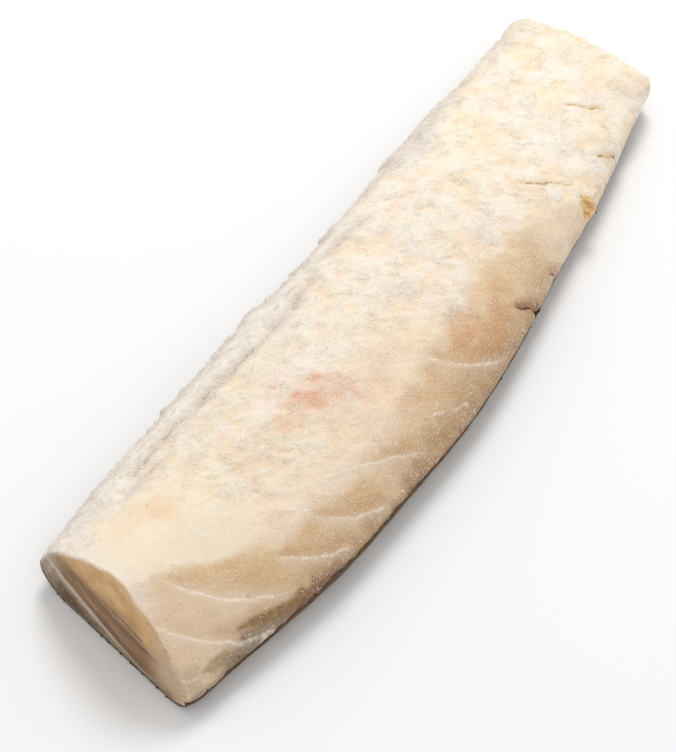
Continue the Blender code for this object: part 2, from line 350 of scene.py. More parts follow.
def build_flesh():
    x, loops, normals, above = sections(ring_places(RINGS), COUNTS)
    y, z = loops[..., 0], loops[..., 1]
    right = y < 0
    rim = np.where(right, curve(RIM_RIGHT, x), curve(RIM_LEFT, x))
    final = seat(x, y, z)
    fx, fy = final[..., 0], final[..., 1]
    inset = np.array([end_inset(place) for place in x[:, 0]])[:, None] * ramp(above, -2, 2)
    bed = 0.22 * ramp(above, rim + 1.2, rim) + (SKIN_THICKNESS + GAP - 0.22) * ramp(above, rim - 1.0, rim - 4.0)
    open_side = ramp(above, rim + 0.5, rim + 4.0)

    soft = 2.6 + 3.0 * ramp(fx, -98, -76) * ramp(fx, 0, -25) + 1.2 * ramp(fx, -20, 0)
    past_slope = fy - curve(SLOPE_EDGE, fx) + 1.6 * rough_field(fx, fy, 9, 5)
    slope = ramp(past_slope / soft, 1.0, -1.0)
    slope *= 1 - 0.5 * ramp(fx, 35, 75)
    glassy = ramp(fx, -88, -112) * ramp(fy, 27, 18) * (1 - slope)
    apron = ramp(past_slope, 18, 6) * ramp(fx, -108, -90) * ramp(fx, 8, -12) * (1 - slope)
    rough = (1 - 0.85 * slope) * (1 - 0.75 * glassy) * (1 - 0.5 * apron)
    relief = base_lumps(x, y) * open_side
    tufts = 0.22 * rough_field(fx, fy, 6.0, 21, 2) + 0.11 * fibre_field(fx, fy, 1.8, 31, 2.2, 2)
    relief = relief + rough * tufts * ramp(fx, 160, 60).clip(0.55, 1) * open_side
    relief = relief + slope * 0.07 * fibre_field(fx, fy, 1.6, 41, 5.0, 2) * open_side
    furrow_line = curve(FURROW_LINE, fx)
    furrow_here = ramp(fx, -118, -96) * ramp(fx, 8, -14)
    broken = 0.5 + 0.5 * field(fx, fy, 7.0, 61)
    broken = broken * ramp(field(fx, fy, 2.6, 62), -0.4, 0.3)
    relief = relief - 0.8 * bump(fy, furrow_line + 0.9 * field(fx, fy, 4.5, 63), 1.1) * furrow_here * (0.3 + 0.7 * broken)
    relief = relief + 1.9 * ramp(x, 118, 146) * bump(above, 5.0, 5.5) * ramp(fy, 0, -8)
    relief = relief + 0.5 * bump(fy, furrow_line + 4.5, 3.0) * furrow_here * (0.5 + field(fx, fy, 9, 64))
    relief = relief + 0.30 * rough_field(fx, above, 3.2, 71, 2) * ramp(above, 0, 3) * ramp(above, 14, 6) * open_side

    grit = 0.11 * rough_field(fx, fy, 2.7, 141, 2) + 0.09 * fibre_field(fx, fy, 1.3, 151, 2.0, 1)
    relief = relief + rough * grit * (0.45 + 0.55 * ramp(fx, 70, 30)) * open_side
    ripple = tufts + grit
    steps = sum(ramp(fx, place - 0.7, place + 0.7) * ramp(fx, place + 15, place + 2) for place in LEFT_STEPS)
    relief = relief + 0.8 * steps * bump(above, 4.0, 7.0) * (fy > 0)
    frayed = ramp(rough_field(fx, above, 1.8, 65, 2), 0.45, 1.0)
    relief = relief + 0.7 * frayed * ramp(above, 6, 1) * ramp(above, -1, 0.5) * (fy > 0)
    dry = ramp(fy - furrow_line, 0, 6) * ramp(fx, 60, 0)
    relief = relief + 0.28 * dry * rough_field(fx / 3.5, above, 1.9, 161, 2) * open_side
    wx, wy = fx + 0.5 * field(fx, fy, 4.0, 81), fy + 0.5 * field(fx, fy, 4.0, 82)
    # Signed step across each flake edge: it lowers the relief past the edge and raises it before, and the material
    # paints shade just past the edge and light just before it.
    flake_step_shade = np.zeros_like(fx)
    crest = np.zeros_like(fx)
    for start, middle, end, half in FLAKES:
        signed, beside = from_arc(wx, wy, start, middle, end)
        flake_step_shade += beside * (ramp(signed, -0.3, 0.3) * np.exp(-signed.clip(0) / 7.0) - 0.5 * ramp(signed, 0.3, -0.3)
                          * np.exp(signed.clip(None, 0) / 4.0))
        crest += beside * bump(signed, 0.0, 0.9)
    for start, middle, end, half in SHEETS:
        signed, beside = from_arc(wx, wy, start, middle, end)
        crest += beside * bump(signed, 0.0, 0.6 + half) * (0.6 + half)
    dent = np.zeros_like(fx)
    for start, middle, end, half in CRACKS:
        signed, beside = from_arc(wx, wy, start, middle, end)
        dent += beside * (bump(signed, 0.0, 0.6) * 0.35 - bump(signed, 1.8, 1.4) * 0.12)
    for start, middle, end, half in DARK_CRACKS:
        signed, beside = from_arc(wx, wy, start, middle, end)
        dent += half * beside * (bump(signed, 0.0, 0.65) * 3.0 - bump(signed, -2.0, 1.6) * 0.3)
    relief = relief + (0.12 * crest - 0.22 * np.clip(flake_step_shade, -1, 1) * slope) * open_side - dent

    off = relief - bed - inset
    y, z = y + normals[..., 0] * off, z + normals[..., 1] * off
    final = seat(x, y, z)
    near_jag = 0.22 * rough_field(y, z, 11.0, 96, 2) * ramp(x, x[0, 0] + 3.0, x[0, 0])
    far_jag = 0.65 * rough_field(y, z, 4.0, 95, 3) * ramp(x, x[-1, 0] - 3.0, x[-1, 0])
    final[..., 0] += (near_jag + far_jag) * ramp(above, 2, 6)

    # The two cut faces: rings drawn in towards the middle line of the end section.
    around = final.shape[1]
    points = [final.reshape(-1, 3)]
    faces = [tube_faces(final.shape[0], around)]
    caps = []
    for end, direction in ((0, -1), (-1, 1)):
        ey, ez = y[end], z[end]
        low, high = ez.min(), ez.max()
        middle_y = np.clip(ey, ey.min() + 9.0, ey.max() - 9.0)
        middle_z = 8.5 + 0.10 * (middle_y - middle_y.min())
        t = np.linspace(0, 1, CAP_RINGS + 1)[1:, None]
        cy = ey + (middle_y - ey) * t
        cz = ez + (middle_z - ez) * t
        cx = np.full_like(cy, x[end, 0])
        cap = seat(cx, cy, cz)
        wave = 0.35 * rough_field(cy, cz, 9.0, 91) + 0.12 * rough_field(cy, cz * 3, 3.0, 93)
        cap[..., 0] -= direction * (0.15 + np.abs(wave)) * ramp(t, 0.0, 0.12) * ramp(t, 1.0, 0.85)
        cap[..., 0] += (final[end, :, 0] - seat(x[end], y[end], z[end])[:, 0]) * ramp(t, 0.4, 0.0)
        start = sum(len(p) for p in points)
        points.append(cap.reshape(-1, 3))
        quads = tube_faces(CAP_RINGS, around, start)
        first = 0 if end == 0 else final.shape[0] * around - around
        j = np.arange(around)
        k = (j + 1) % around
        join = np.stack([first + j, first + k, start + k, start + j], axis=-1)
        both = np.concatenate([join, quads])
        faces.append(both[:, ::-1] if end == 0 else both)
        caps.append((cy.ravel(), cz.ravel(), np.hypot(0, high - low)))
    all_points = np.concatenate(points)
    all_faces = np.concatenate(faces)
    obj = make_mesh("cod_flesh", all_points, all_faces[:, ::-1].tolist())

    n_body, n_cap = len(points[0]), len(points[1])

    def whole(values, near=0.0, far=0.0):
        return np.concatenate([np.asarray(values, float).ravel(), np.full(n_cap, near), np.full(n_cap, far)])

    cut_at = NEAR_CUT["place"] - CENTRE[0] + NEAR_CUT["across"] * fy + NEAR_CUT["up"] * final[..., 2]
    from_cut = fx - cut_at + 0.35 * rough_field(fx, fy, 6.0, 97, 2)
    end_fade = 0.8 * ramp(from_cut, 1.5, -0.1)
    end_fade[0] = 0.8
    inwards = np.linspace(0, 1, CAP_RINGS + 1)[1:]
    near_fade = np.repeat(0.8 + 0.2 * ramp(inwards, 0.0, 0.12), around)
    far_fade = np.repeat(ramp(inwards, 0.0, 0.3), around)
    put(obj, "cut", np.concatenate([end_fade.ravel(), near_fade, far_fade]))
    py = np.concatenate([y.ravel(), caps[0][0], caps[1][0]])
    pz = np.concatenate([z.ravel(), caps[0][1], caps[1][1] * 2.0])
    put(obj, "face_y", py)
    put(obj, "face_z", pz)
    put(obj, "slope", whole(slope))
    put(obj, "rough", whole(rough))
    put(obj, "glassy", whole(glassy))
    put(obj, "apron", whole(apron))
    put(obj, "flake_step_shade", whole(np.clip(flake_step_shade, -1, 1)))
    put(obj, "above", whole(above, 20.0, 20.0))
    wx = fx + 2.0 * rough_field(fx, fy, 7, 101)
    wy = fy + 2.0 * rough_field(fx, fy, 7, 105)
    rose = 0.75 * patch(wx, wy, -42, -1.0, 4.5, 4, 0) + 0.6 * patch(wx, wy, -41, -8.5, 9, 4.5, -80) \
        + 0.85 * patch(wx, wy, -51.5, -4.2, 7.5, 5.2, -55) + 0.6 * patch(wx, wy, -63, -4.2, 6, 5.2, -30) \
        + 0.38 * patch(wx, wy, -46, -8, 20, 11, -50) + 0.35 * patch(wx, wy, -66.5, 0.6, 3, 2.5, 0) \
        + 0.2 * patch(wx, wy, 137, -21.5, 6, 5, 0)
    put(obj, "rose", whole(np.clip(rose, 0, 1)))
    rust = 0.95 * patch(wx, wy, 2, -29, 13, 6, 0) + 0.7 * patch(wx, wy, -30, -28, 9, 4, 0) \
        + 0.8 * patch(wx, wy, 16, -35, 14, 6, 10) + 0.35 * patch(wx, wy, 38, -30, 16, 7, 5) \
        + 0.7 * patch(wx, wy, 1, -37.5, 8, 4, 0)
    put(obj, "rust", whole(np.clip(rust, 0, 1)))
    dull = 0.8 * patch(wx, wy, -88, 18, 32, 11, 0) + 0.5 * patch(wx, wy, -45, 14, 26, 10, 0) \
        + 0.35 * patch(wx, wy, -20, -8, 20, 12, 0) + 0.55 * patch(wx, wy, -113, 19, 12, 9, 0)
    put(obj, "dull", whole(np.clip(dull, 0, 1)))
    peach = 0.9 * patch(wx, wy, -111, 13, 9, 6, -50) + 0.6 * patch(wx, wy, -122, 21, 5, 4, 0) \
        + 0.25 * patch(wx, wy, -26, -17, 18, 9, 0) + 0.2 * patch(wx, wy, -60, -15, 18, 8, -10) \
        + 0.5 * patch(wx, wy, -6, 25, 8, 5, 30) + 0.3 * patch(wx, wy, 136, -19, 9, 5, 0) \
        + 0.25 * patch(wx, wy, -95, -18.5, 9, 5, -10) + 0.45 * patch(wx, wy, -84, -4, 7, 5, 0) \
        + 0.25 * patch(wx, wy, -50, -24, 14, 6, 0) + 0.2 * patch(wx, wy, 10, -19, 14, 6, 0) \
        + 0.1 * patch(wx, wy, 45, -18, 20, 6, 0) + 0.35 * patch(wx, wy, -77, 1, 15, 10, 0)
    put(obj, "peach", whole(np.clip(peach, 0, 1)))
    lilac = ramp(fy - curve(FURROW_LINE, fx), -4, 6) * ramp(fx, 55, -5) * ramp(fy, 10, 20)
    put(obj, "lilac", whole(lilac))
    low_side = ramp(-fy, 8, 14)
    uneven = 1.6 * rough_field(fx, fy, 5.0, 111, 2)
    # Painted shade on the right side: darker towards the bottom of the flank, also at the far end.
    shade = ramp(above + uneven, 9.0, 0.0) * ramp(fx, 75, 45) * ramp(fx, -132, -118)
    shade = shade + 0.35 * ramp(above + uneven, 5.0, 0.0) * ramp(fx, 60, 78)
    put(obj, "shade", whole(shade * low_side))
    low_flank_shade = 0.42 * ramp(above, 22, 10) * (0.4 + 0.7 * ramp(fx, -62, -45)) * ramp(fx, 20, -15) * ramp(fx, -116, -98)
    low_top = 13 + 4 * ramp(fx, -50, -38) + 5 * ramp(fx, -106, -113)
    low = ramp(above + uneven, low_top, low_top - 9) * ramp(fx, 60, 35) * ramp(fx, -137, -126)
    low_flank_shade = low_flank_shade * (1 - 0.8 * bump(fx, -70, 9)) + 0.75 * low * (1 - 0.7 * bump(fx, -58, 6))
    put(obj, "low_flank_shade", whole(low_flank_shade * low_side))
    past_flake = (fx + 117.3) * 0.712 + (fy + 17.5) * 0.702
    put(obj, "beige", whole(ramp(past_flake, 2.0, -3.0)))
    # The relief's ups and downs, which the material uses to paint the hollows darker and the crests whiter, partly as
    # painted shade and light.
    put(obj, "ripple", whole(ripple * (rough - 0.4 * slope).clip(0, 1)))
    # Painted shade: a narrow dark band right along the bottom rim of the right flank.
    edge = ramp(above + 0.35 * uneven, 3.4 + 2.2 * bump(fx, -121, 8), 0.9) * (1 - 0.4 * bump(fx, -33, 10))
    edge = edge * low_side * ramp(fx, 10, -45) * (0.6 + 0.4 * ramp(fx, -134, -120))
    put(obj, "edge", whole(edge))
    upper_strip = curve(STRIP_HALF, fx) - np.abs(above - curve(STRIP_MIDDLE, fx))
    put(obj, "strip", whole(np.where(low_side > 0.3, upper_strip, -3.0), -3.0, -3.0))
    lower_strip = curve(PALE_STRIP_HALF, fx) - np.abs(above - curve(PALE_STRIP_MIDDLE, fx))
    put(obj, "pale_strip", whole(np.where(low_side > 0.3, lower_strip, -3.0), -3.0, -3.0))
    below_strip = ramp(above - curve(STRIP_MIDDLE, fx), 0.8, -1.2)
    grey = below_strip * ramp(fx, -98, -110) * low_side * ramp(fx, -144, -128) * ramp(above + 0.5 * uneven, 9.5, 4.5)
    grey += 0.35 * patch(wx, wy, -145, -21, 7, 4, -30)
    put(obj, "grey", whole(np.clip(grey, 0, 1)))
    brown_top = 8.0 - 3.0 * ramp(fx, -101, -93)
    brown = ramp(above + uneven - brown_top, 0.5, -3.0) * ramp(fx, -113, -104) * ramp(fx, -80, -92) * low_side
    put(obj, "brown", whole(np.clip(brown, 0, 1)))
    # Painted shade: the other side greyer towards its lower rim, and at a few places along it.
    other_rim = ramp(above + 0.6 * uneven, 15.0, 8.0) * (fy > 0) * (1 - 0.3 * ramp(fx, 60, 120))
    other_rim = other_rim * (1 - 0.4 * bump(fx, -92, 12)) + 0.9 * patch(wx, wy, -134, 42, 6, 5, 0) \
        + 0.95 * patch(wx, wy, 74, 31, 27, 8, 0) + 0.35 * patch(wx, wy, -118, 32, 12, 8, 0)
    put(obj, "other_rim", whole(np.clip(other_rim, 0, 1)))
    grainy = (0.40 + 0.50 * ramp(fx, 75, 30) + 0.35 * slope) * (0.4 + 0.6 * ramp(fx, -108, -72))
    put(obj, "grainy", whole(np.clip(grainy, 0, 1), 0.4, 0.4))
    film = ramp(fx - cut_at, 11, 2) * ramp(fy, -9, 0) + 0.6 * ramp(fx - cut_at, 24, 4) * ramp(fy, 20, 28)
    put(obj, "film", whole(np.clip(film, 0, 1)))
    return obj, final, fx, fy, normals, above, slope, rough, glassy, rim


flesh_obj, flesh_top, top_x, top_y, top_normals, top_above, top_slope, top_rough, top_glassy, top_rim = build_flesh()


# ---------------------------------------------------------------- skin
def build_skin():
    counts = (60, 50, 16, 14, 16)
    places = ring_places(400)
    rows_outer, rows_inner, heights = [], [], []
    for x in places:
        loop, above = section(x, counts)
        normal = outward(loop)
        top = counts[0] + counts[1]
        along = np.concatenate([[0], np.cumsum(np.linalg.norm(np.diff(loop, axis=0), axis=1))])
        length = along[-1] + np.linalg.norm(loop[0] - loop[-1])
        ragged = 0.7 * field(np.array([x]), np.array([0.0]), 2.6, 201)[0] + 0.45 * field(np.array([x]), np.array([9.0]), 1.1, 203)[0]
        ragged_left = 0.7 * field(np.array([x]), np.array([40.0]), 3.0, 205)[0]
        rise_right = curve(RIM_RIGHT, x) + ragged
        rise_left = curve(RIM_LEFT, x) + ragged_left
        start = along[top] - rise_left
        finish = length + rise_right
        t = np.linspace(start, finish, 70) % length
        ring = np.concatenate([loop, loop[:1]])
        at = np.concatenate([along, [length]])
        norm = np.concatenate([normal, normal[:1]])
        p = np.stack([np.interp(t, at, ring[:, 0]), np.interp(t, at, ring[:, 1])], axis=1)
        n = np.stack([np.interp(t, at, norm[:, 0]), np.interp(t, at, norm[:, 1])], axis=1)
        n /= np.linalg.norm(n, axis=1)[:, None]
        from_rim = np.minimum(np.arange(70), 69 - np.arange(70)) * (finish - start) / 69
        thick = 0.35 + (SKIN_THICKNESS - 0.35) * ramp(from_rim, 0.0, 6.0)
        wrinkle = 0.06 * (1 + np.sin(x / 1.9 + 0.4 * p[:, 0])) * ramp(p[:, 1], 0.05, 1.5)
        outer = p - n * (end_inset(x) * 0.5 + wrinkle)[:, None]
        inner = p - n * np.maximum(thick, wrinkle + 0.25)[:, None]
        rows_outer.append(seat(np.full(70, x), outer[:, 0], outer[:, 1]))
        rows_inner.append(seat(np.full(70, x), inner[:, 0], inner[:, 1]))
        heights.append(from_rim)
    outer, inner = np.array(rows_outer), np.array(rows_inner)
    rings = np.concatenate([outer, inner[:, ::-1]], axis=1)
    for end, direction in ((0, -1), (-1, 1)):
        yy, zz = rings[end, :, 1], rings[end, :, 2]
        rings[end, :, 0] -= direction * (0.3 + 0.4 * rough_field(yy, zz, 1.8, 211 + end, 2))
    around = rings.shape[1]
    faces = tube_faces(len(rings), around).tolist()
    for end in (0, len(rings) - 1):
        base = end * around
        half = around // 2
        for k in range(half - 1):
            quad = [base + k, base + k + 1, base + around - 2 - k, base + around - 1 - k]
            faces.append(quad if end == 0 else quad[::-1])
    obj = make_mesh("cod_skin", rings.reshape(-1, 3), faces)
    from_rim = np.array(heights)
    put(obj, "from_rim", np.concatenate([from_rim, from_rim[:, ::-1]], axis=1))
    inside = np.concatenate([np.zeros(70), np.ones(70)])
    put(obj, "inside", np.tile(inside, len(rings)))
    return obj, outer


skin_obj, skin_outer = build_skin()


# ---------------------------------------------------------------- loose salt, crumbs and shreds
def surface_spots(rng, count, density):
    """Random points on the top of the flesh with their outward directions, picked where density is high."""
    rows, cols = flesh_top.shape[0] - 12, COUNTS[0] + COUNTS[1] - 4
    i = rng.integers(6, 6 + rows, count * 6)
    j = rng.integers(2, 2 + cols, count * 6)
    keep = rng.uniform(0, 1, len(i)) < density[i, j]
    i, j = i[keep][:count], j[keep][:count]
    u, v = rng.uniform(0, 1, (2, len(i), 1))
    a, b = flesh_top[i, j], flesh_top[i, j + 1]
    c, d = flesh_top[i + 1, j], flesh_top[i + 1, j + 1]
    points = (a * (1 - u) + c * u) * (1 - v) + (b * (1 - u) + d * u) * v
    normal = np.cross(c - a, b - a)
    normal /= np.linalg.norm(normal, axis=1)[:, None]
    return points, normal


def turned(rng, count):
    """Random rotation matrices."""
    q = rng.normal(size=(count, 4))
    q /= np.linalg.norm(q, axis=1)[:, None]
    w, x, y, z = q.T
    return np.stack([
        np.stack([1 - 2 * (y * y + z * z), 2 * (x * y - z * w), 2 * (x * z + y * w)], -1),
        np.stack([2 * (x * y + z * w), 1 - 2 * (x * x + z * z), 2 * (y * z - x * w)], -1),
        np.stack([2 * (x * z - y * w), 2 * (y * z + x * w), 1 - 2 * (x * x + y * y)], -1),
    ], axis=1)


CUBE = np.array([[a, b, c] for a in (-1, 1) for b in (-1, 1) for c in (-1, 1)], float) * 0.5
CUBE_FACES = np.array([[0, 1, 3, 2], [4, 6, 7, 5], [0, 4, 5, 1], [2, 3, 7, 6], [0, 2, 6, 4], [1, 5, 7, 3]])


def scatter(name, shape, shape_faces, points, normals, sizes, rng, sink, jitter=0.0):
    """Many small turned copies of one shape joined into one mesh."""
    count = len(points)
    local = shape[None] * sizes[:, None, :]
    if jitter:
        local = local * (1 + jitter * rng.uniform(-1, 1, local.shape))
    world = np.einsum("nij,nkj->nki", turned(rng, count), local)
    world += (points + normals * sizes.mean(axis=1)[:, None] * sink)[:, None]
    offset = np.arange(count)[:, None, None] * len(shape)
    faces = (shape_faces[None] + offset).reshape(-1, shape_faces.shape[1])
    return make_mesh(name, world.reshape(-1, 3), faces.tolist(), smooth=jitter > 0)


rng = np.random.default_rng(7)
near_line = ramp(top_above, 9, 1)
sparkle = 0.10 + 0.75 * top_slope * ramp(top_x, -60, -35) * ramp(top_x, 75, 45) * (0.4 + 0.6 * ramp(top_x, 0, 25))
sparkle += 0.22 * top_slope * ramp(top_above, 16, 4) + 0.15 * near_line
sparkle *= 0.3 + 0.7 * ramp(top_x, -75, -45)
sparkle *= (1 - 0.6 * top_glassy) * (0.25 + 0.75 * ramp(rough_field(top_x, top_y, 8, 301), -0.4, 0.6))
spots, directions = surface_spots(rng, 5600, np.clip(sparkle, 0, 1))
grain_sizes = (0.13 + 0.24 * rng.uniform(0, 1, (len(spots), 1)) ** 2.5) * rng.uniform(0.75, 1.2, (len(spots), 3))
salt_obj = scatter("salt_grains", CUBE, CUBE_FACES, spots, directions, grain_sizes, rng, -0.05)


frost = top_rough * (0.25 + 0.75 * ramp(rough_field(top_x, top_y, 5.0, 311), -0.3, 0.6)) * (0.35 + 0.65 * ramp(top_x, 80, 45))
frost *= (1 - 0.5 * top_glassy) * ramp(top_above, 1.0, 3.0)
spots, directions = surface_spots(rng, 13000, np.clip(frost, 0, 1))
frost_sizes = (0.14 + 0.26 * rng.uniform(0, 1, (len(spots), 1)) ** 2.6) * rng.uniform(0.6, 1.3, (len(spots), 3))
frost_obj = scatter("salt_frost", CUBE, CUBE_FACES, spots, directions, frost_sizes, rng, -0.12)


def ball(steps=5, around=7):
    """Points and quads of a small closed ball with pinched poles."""
    polar = np.linspace(0.02, pi - 0.02, steps)
    turn = np.arange(around) * 2 * pi / around
    points = np.stack([np.outer(np.sin(polar), np.cos(turn)), np.outer(np.sin(polar), np.sin(turn)),
                       np.repeat(np.cos(polar)[:, None], around, axis=1)], axis=-1)
    return 0.5 * points.reshape(-1, 3), tube_faces(steps, around)


BALL, BALL_FACES = ball()
over_strip = top_above - curve(STRIP_MIDDLE, top_x) - curve(STRIP_HALF, top_x)
on_flank = (top_y < 0) * ramp(top_x, -122, -112) * ramp(top_x, -88, -98)
crust = on_flank * ramp(over_strip, -0.8, 0.2) * ramp(over_strip, 4.0 + 3.0 * ramp(top_x, -112, -102), 1.0)
crust += 0.2 * ramp(top_above, 7, 1.5) * ramp(top_x, -60, 40)
crust += 0.10 * ramp(top_y, 24, 30) * ramp(top_x, 20, -10) + 0.004
crust += 0.5 * ramp(top_x, -66, -58) * ramp(top_x, -40, -50) * ramp(top_above, 9, 3) * (top_y < 0)
spots, directions = surface_spots(rng, 700, np.clip(crust, 0, 1))
crumb_sizes = (0.25 + 0.6 * rng.uniform(0, 1, (len(spots), 1)) ** 1.6) * rng.uniform(0.6, 1.3, (len(spots), 3))
crumb_obj = scatter("salt_crumbs", BALL, BALL_FACES, spots, directions, crumb_sizes, rng, 0.05, 0.3)


def strand(line, side, up, half, thick, around=6):
    """Rings of a tapering closed sliver along a line, wide towards side and thick towards up."""
    t = np.linspace(0, 1, len(line))
    taper = np.sqrt(np.sin(pi * np.clip(t, 0.05, 0.95)))[:, None, None]
    turn = np.arange(around) * 2 * pi / around
    ring = half * np.outer(np.cos(turn), side) + thick * np.outer(np.sin(turn), up)
    return (line[:, None] + taper * ring[None]).reshape(-1, 3)


def strands_mesh(name, blocks, steps, around=6):
    faces = np.concatenate([tube_faces(steps, around, n * steps * around) for n in range(len(blocks))])
    return make_mesh(name, np.concatenate(blocks), faces.tolist())


def shreds(name, spots, directions, length, width, lift, rng):
    """Thin curled slivers lying on a surface, each one turned at random."""
    steps = 6
    t = np.linspace(0, 1, steps)
    blocks = []
    for point, normal in zip(spots, directions):
        heading = rng.normal(size=3)
        heading -= normal * (heading @ normal)
        heading /= np.linalg.norm(heading)
        side = np.cross(normal, heading)
        long = length * rng.uniform(0.5, 1.3)
        line = point + np.outer(t - 0.5, heading) * long + np.outer((t - 0.5) ** 2, side) * rng.uniform(-0.4, 0.4) * long
        line += np.outer(lift * (0.15 + rng.uniform(0.2, 1.0) * t**1.5), normal)
        wide = width * rng.uniform(0.7, 1.5)
        block = strand(line, side, normal, wide, 0.5 * wide)
        block[:, 2] = block[:, 2].clip(0.12)
        blocks.append(block)
    return strands_mesh(name, blocks, steps)


ragged = ramp(top_y, 26, 34) * ramp(top_above, 9, 1) * (0.3 + 0.7 * ramp(top_x, 90, 20)) + ramp(top_x, 143, 147) * 0.8
spots, directions = surface_spots(rng, 240, np.clip(ragged, 0, 1))
shred_obj = shreds("flesh_shreds", spots, directions, 1.7, 0.15, 0.55, rng)


def skin_edge_spots(rng, count):
    """Places with outward directions on the skin's lower right rim and on the bottom of the near cut."""
    rim = rng.integers(4, 270, count)
    under = rng.integers(12, 62, count // 2)
    points = np.concatenate([skin_outer[rim, -1], skin_outer[0, under]])
    away = np.concatenate([np.tile([0.0, -0.95, 0.3], (count, 1)), np.tile([-0.9, -0.2, 0.35], (count // 2, 1))])
    return points, away / np.linalg.norm(away, axis=1)[:, None]


spots, directions = skin_edge_spots(rng, 20)
skin_shred_obj = shreds("skin_shreds", spots, directions, 1.0, 0.26, 0.3, rng)


SCRAP_MIDDLE = np.array([80.6, -32.3, 13.6])
SCRAP_ALONG = np.array([0.50, -0.55, -0.67])
SCRAP_OUT = np.array([-0.25, -0.80, 0.55])
# Folds of the scrap: shift up, shift out, shift along, length, bend, half-width and half-thickness.
SCRAP_FOLDS = (
    (-0.2, 0.2, 0.2, 8.4, 0.8, 2.3, 0.95),
    (2.5, 0.5, -0.5, 7.8, 1.0, 1.05, 0.85),
    (-2.6, 0.1, 0.6, 6.0, 0.6, 1.2, 0.75),
    (0.9, 1.0, 1.8, 4.4, 0.5, 0.9, 0.6),
)


def torn_scrap():
    """A crumpled amber scrap that stands off the far flank: a body, a pale lip over it and smaller folds."""
    side = np.cross(SCRAP_OUT, SCRAP_ALONG)
    t = np.linspace(0, 1, 15)[:, None]
    blocks = []
    for shift_side, shift_out, shift_along, long, bend, half, thick in SCRAP_FOLDS:
        line = SCRAP_MIDDLE + side * shift_side + SCRAP_OUT * shift_out
        line = line + SCRAP_ALONG * ((t - 0.5) * long + shift_along)
        line = line + SCRAP_OUT * bend * np.sin(pi * t) + side * 0.45 * np.sin(2 * pi * t)
        block = strand(line, side, SCRAP_OUT, half, thick, 12)
        crumple = rough_field(block[:, 0] + block[:, 2], block[:, 1], 1.7, 341, 2)
        blocks.append(block + 0.4 * crumple[:, None] * SCRAP_OUT)
    return strands_mesh("torn_scrap", blocks, 15, 12)


scrap_obj = torn_scrap()

specks = 0.06 + 0.2 * ramp(rough_field(top_x, top_y, 20, 331), 0.0, 0.8)
spots, directions = surface_spots(rng, 26, specks)
scrap_end = SCRAP_MIDDLE + 4.9 * SCRAP_ALONG + 0.5 * SCRAP_OUT + np.outer([0.0, 0.4], [0.8, 0.1, 0.5])
spots, directions = np.concatenate([spots, scrap_end]), np.concatenate([directions, [SCRAP_OUT, SCRAP_OUT]])
speck_sizes = rng.uniform(0.3, 0.55, (len(spots), 1)) * rng.uniform(0.7, 1.2, (len(spots), 3))
speck_obj = scatter("dark_specks", BALL, BALL_FACES, spots, directions, speck_sizes, rng, -0.1, 0.2)


